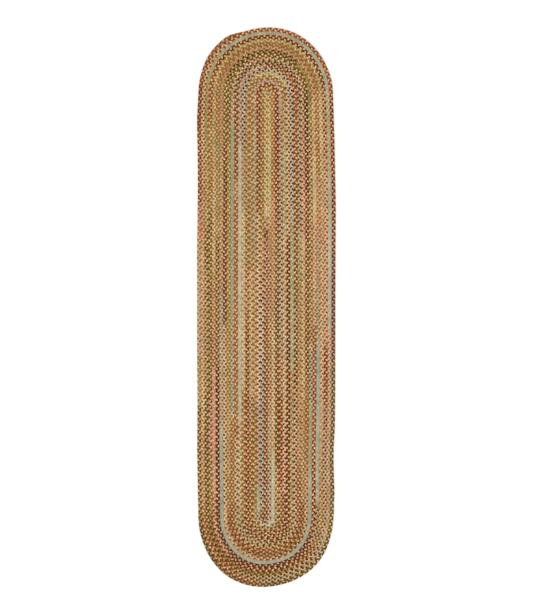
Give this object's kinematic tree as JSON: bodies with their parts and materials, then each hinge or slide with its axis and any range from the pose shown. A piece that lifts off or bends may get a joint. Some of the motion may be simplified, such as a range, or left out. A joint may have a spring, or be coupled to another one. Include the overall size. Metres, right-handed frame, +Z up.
{
  "type": "braided rug",
  "caption": "Long oval braided runner rug: a continuous flat braid of multicolour yarn wound in a coil and laced edge to edge, flat underneath.",
  "frame": {"origin": "middle of the rug's box, on the floor under its flat underside", "axes": "+Y along the rug towards the end where the braid tapers off, +X to the right seen from above, +Z up out of the floor"},
  "size_m": [0.6032, 2.44, 0.0095],
  "materials": {
    "braided_yarn": "matt space-dyed braiding yarn in gold, tan, olive, sage, rust, brick and dark brown, plaited in three strands"
  },
  "bodies": {
    "root": {"braided_rug": "braided_yarn"}
  },
  "joints": []
}
